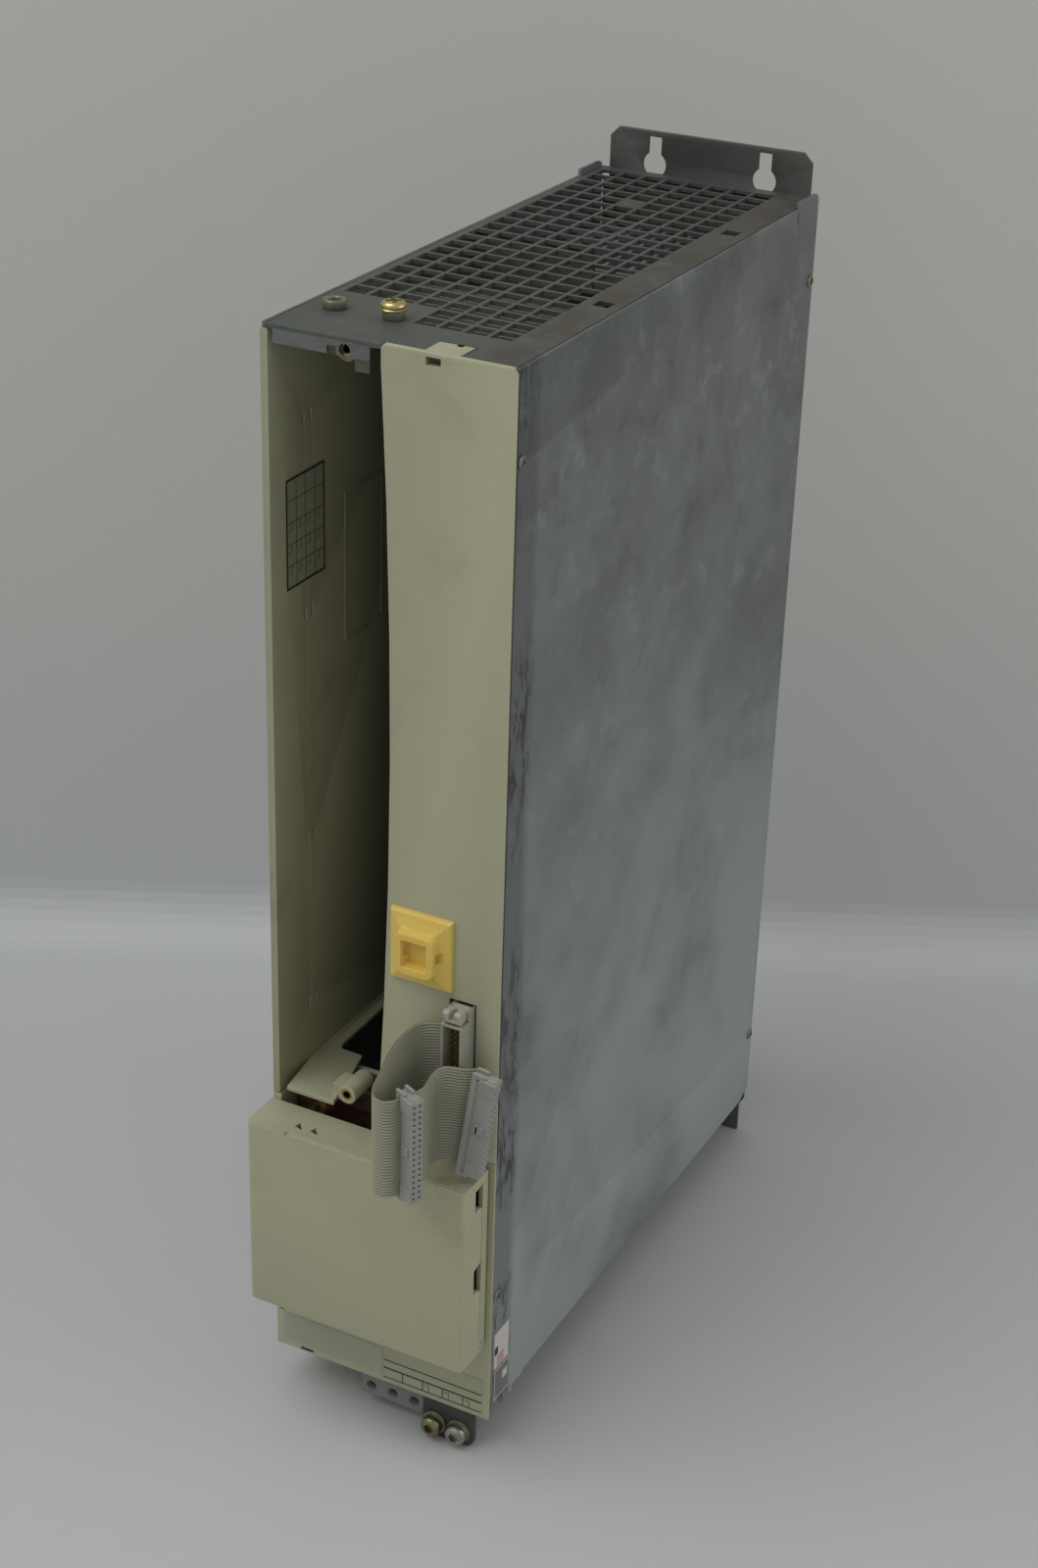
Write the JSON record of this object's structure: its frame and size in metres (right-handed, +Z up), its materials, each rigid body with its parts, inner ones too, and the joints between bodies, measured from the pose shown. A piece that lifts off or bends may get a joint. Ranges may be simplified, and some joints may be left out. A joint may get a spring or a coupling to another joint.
{
  "type": "servo drive power module",
  "caption": "Tall narrow servo drive with a vented metal housing, open control slot, hinged link cover, wall flange, fan and a ribbon bus cable.",
  "frame": {"origin": "centre of the housing footprint (link cover included) on the plane of its two feet", "axes": "+Z up, +Y towards the mounting wall, -Y towards the user, +X to the right seen from the front"},
  "size_m": [0.1082, 0.3175, 0.48],
  "materials": {
    "galvanised": "blotchy zinc",
    "dark_steel": "dull zinc",
    "beige_plastic": "yellowed",
    "olive_plastic": "matt",
    "steel_screw": "zinc plated",
    "yellow_zinc": "yellow passivated",
    "brass_insert": "bright",
    "connector_plastic": "matt",
    "label_foil": "matt",
    "label_grey": "matt",
    "label_white": "matt",
    "sink_aluminium": "extruded",
    "module_plastic": "matt",
    "board_green": "solder mask",
    "capacitor_can": "sleeved",
    "fan_plastic": "matt",
    "copper": "bright",
    "carrier_plastic": "matt",
    "transformer_core": "varnished",
    "terminal_plastic": "matt",
    "bracket_steel": "dark",
    "aged_nylon": "yellowed",
    "header_plastic": "matt",
    "gold_pins": "plated",
    "latch_plastic": "matt",
    "ribbon_pvc": "ribbed",
    "plug_plastic": "matt"
  },
  "bodies": {
    "housing": {"back_plate": "dark_steel", "top_grille": "dark_steel", "front_lip": "dark_steel", "base_plate": "dark_steel", "side_panel_right": "galvanised", "side_panel_left": "galvanised", "side_screws": "steel_screw", "slot_housing": "beige_plastic", "slot_floor": "beige_plastic", "slot_inserts": "brass_insert", "slot_vent": "olive_plastic", "slot_connectors": "connector_plastic", "front_panel": "beige_plastic", "lower_housing": "beige_plastic", "rating_label": "label_foil", "switch_label": "label_grey", "side_label": "label_white", "heat_sink": "sink_aluminium", "power_modules": "module_plastic", "module_screws": "steel_screw", "driver_board": "board_green", "capacitors": "capacitor_can", "capacitor_board": "board_green", "bus_board": "board_green", "supply_transformer": "transformer_core", "fan_frame": "fan_plastic", "fan_guard": "steel_screw", "fan_screws": "steel_screw", "busbar_upper": "copper", "busbar_lower": "copper", "busbar_carrier": "carrier_plastic", "busbar_screws": "yellow_zinc", "motor_terminal_block": "terminal_plastic", "terminal_screws": "steel_screw", "earth_bracket": "bracket_steel", "earth_screws": "yellow_zinc", "earth_washers": "steel_screw", "top_spacers": "steel_screw", "top_screw": "yellow_zinc", "tie_mount": "aged_nylon", "header_shell": "header_plastic", "header_pins": "gold_pins", "ribbon_cable": "ribbon_pvc", "plug_middle": "plug_plastic", "plug_middle_cover": "plug_plastic", "plug_end": "plug_plastic", "plug_end_cover": "plug_plastic"},
    "link_cover": {"dc_link_cover": "beige_plastic"},
    "upper_latch": {"latch_upper": "latch_plastic"},
    "lower_latch": {"latch_lower": "latch_plastic"},
    "rotor": {"fan_rotor": "fan_plastic"}
  },
  "joints": [
    {"name": "link_cover_hinge", "type": "hinge", "parent": "housing", "child": "link_cover", "pos_m": [0, -0.1285, 0.0601], "axis": [1, 0, 0], "range_deg": [0, 90]},
    {"name": "upper_latch_pivot", "type": "hinge", "parent": "housing", "child": "upper_latch", "pos_m": [0.03505, -0.125, 0.2111], "axis": [-1, 0, 0], "range_deg": [0, 35]},
    {"name": "lower_latch_pivot", "type": "hinge", "parent": "housing", "child": "lower_latch", "pos_m": [0.03505, -0.125, 0.1569], "axis": [1, 0, 0], "range_deg": [0, 35]},
    {"name": "fan_spin", "type": "hinge", "parent": "housing", "child": "rotor", "pos_m": [0, 0.1012, 0.03], "axis": [0, 0, 1], "continuous": true}
  ]
}
